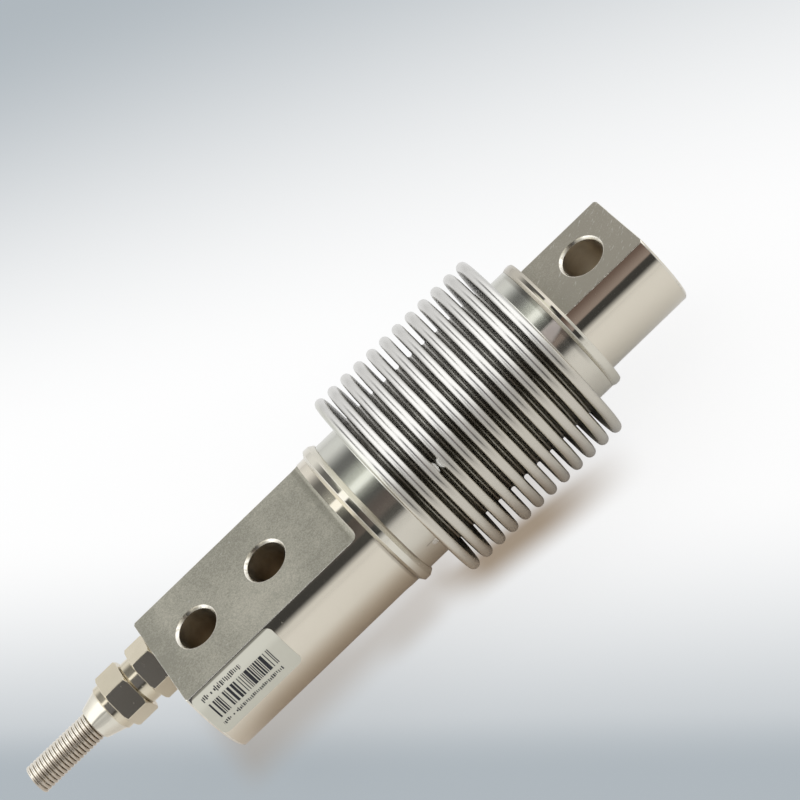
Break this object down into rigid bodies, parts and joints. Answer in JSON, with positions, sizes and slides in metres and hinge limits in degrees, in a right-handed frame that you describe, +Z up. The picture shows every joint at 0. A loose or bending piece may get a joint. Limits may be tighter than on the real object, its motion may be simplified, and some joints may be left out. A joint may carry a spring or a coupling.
{
  "type": "bellows load cell",
  "caption": "Bending-beam load cell sealed by a metal bellows, with flattened bolt-on ends, a side-set cable gland and a coiled strain relief",
  "frame": {"origin": "middle of the two fixing bolt holes, on the lower fixing face", "axes": "+X along the beam towards the load end, +Z up through the bolt holes, the load acting along -Z; the gland is on the +Y side and the label on the -Y side"},
  "size_m": [0.1559, 0.0444, 0.0443],
  "materials": {
    "nickel_plated_steel": "nickel plated alloy steel, round parts polished, flats ground",
    "stainless_bellows": "satin formed stainless sheet and turned rings",
    "spring_wire": "bright drawn wire",
    "nickel_plated_brass": "bright nickel plate",
    "washer_nylon": "natural nylon",
    "seal_rubber": "moulded",
    "gauge_film": "amber film with etched foil",
    "terminal_laminate": "glass laminate with tinned pads",
    "resistor_ceramic": "fired, with tinned ends",
    "enamelled_wire": "enamelled copper",
    "potting_resin": "cast",
    "label_film": "printed sticker, satin"
  },
  "bodies": {
    "root": {"spring_element": "nickel_plated_steel", "bellows": "stainless_bellows", "fixed_weld_ring": "stainless_bellows", "load_weld_ring": "stainless_bellows", "strain_relief_spring": "spring_wire", "gland_body": "nickel_plated_brass", "gland_nut": "nickel_plated_brass", "gland_thrust_washer": "nickel_plated_brass", "gland_sealing_washer": "washer_nylon", "gland_seal": "seal_rubber", "upper_fixed_gauge": "gauge_film", "upper_load_gauge": "gauge_film", "lower_fixed_gauge": "gauge_film", "lower_load_gauge": "gauge_film", "upper_terminal_strip": "terminal_laminate", "lower_terminal_strip": "terminal_laminate", "span_resistor_near": "resistor_ceramic", "span_resistor_far": "resistor_ceramic", "zero_trim_resistor": "resistor_ceramic", "upper_gauge_wires": "enamelled_wire", "lower_gauge_wires": "enamelled_wire", "bridge_link_wires": "enamelled_wire", "potting_plug": "potting_resin", "label": "label_film"}
  },
  "joints": []
}
